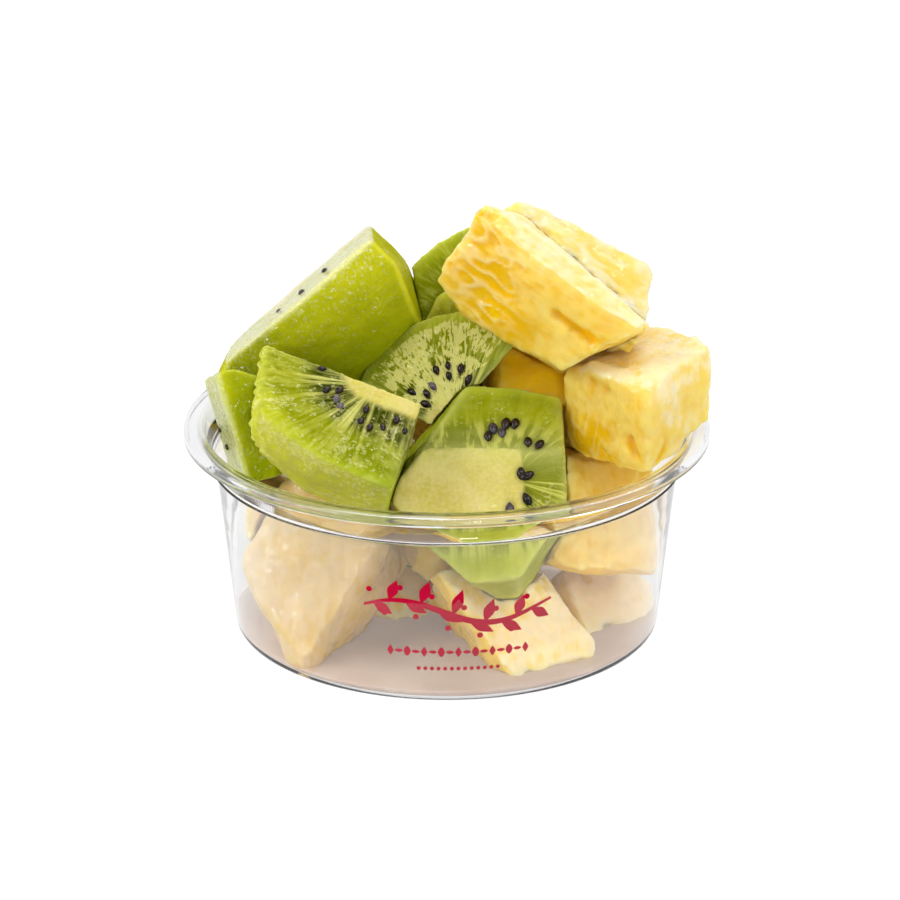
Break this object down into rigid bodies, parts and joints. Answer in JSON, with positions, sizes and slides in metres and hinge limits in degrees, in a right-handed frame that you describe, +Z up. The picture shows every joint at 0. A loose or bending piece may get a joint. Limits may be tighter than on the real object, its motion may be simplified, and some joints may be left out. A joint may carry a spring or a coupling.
{
  "type": "fruit cup",
  "caption": "Low round cup of clear thin plastic with a flanged rim, heaped above the rim with peeled kiwi and pineapple chunks.",
  "frame": {"origin": "centre of the cup's foot ring, on the surface it stands on", "axes": "+Z up along the cup's axis, -Y towards the front"},
  "size_m": [0.0978, 0.098, 0.0801],
  "materials": {
    "clear_plastic": "clear, thin, glossy",
    "kiwi_flesh": "wet green fruit flesh with dark seeds",
    "pineapple_flesh": "moist yellow fruit flesh"
  },
  "bodies": {
    "root": {"cup": "clear_plastic", "kiwi_front_left": "kiwi_flesh", "kiwi_front_center": "kiwi_flesh", "kiwi_center": "kiwi_flesh", "kiwi_back_left": "kiwi_flesh", "kiwi_far_left": "kiwi_flesh", "pineapple_right": "pineapple_flesh", "pineapple_top_front": "pineapple_flesh", "pineapple_front_center": "pineapple_flesh", "pineapple_front_left": "pineapple_flesh", "pineapple_top_back": "pineapple_flesh", "kiwi_middle_back": "kiwi_flesh", "kiwi_back": "kiwi_flesh", "pineapple_middle": "pineapple_flesh", "pineapple_under_right": "pineapple_flesh", "pineapple_low_right": "pineapple_flesh", "pineapple_low_center": "pineapple_flesh", "pineapple_left": "pineapple_flesh", "pineapple_back_left": "pineapple_flesh", "pineapple_low_back": "pineapple_flesh", "pineapple_back": "pineapple_flesh", "pineapple_back_right": "pineapple_flesh", "pineapple_high_back": "pineapple_flesh", "pineapple_core": "pineapple_flesh", "kiwi_back_right": "kiwi_flesh", "kiwi_low_back": "kiwi_flesh"}
  },
  "joints": []
}
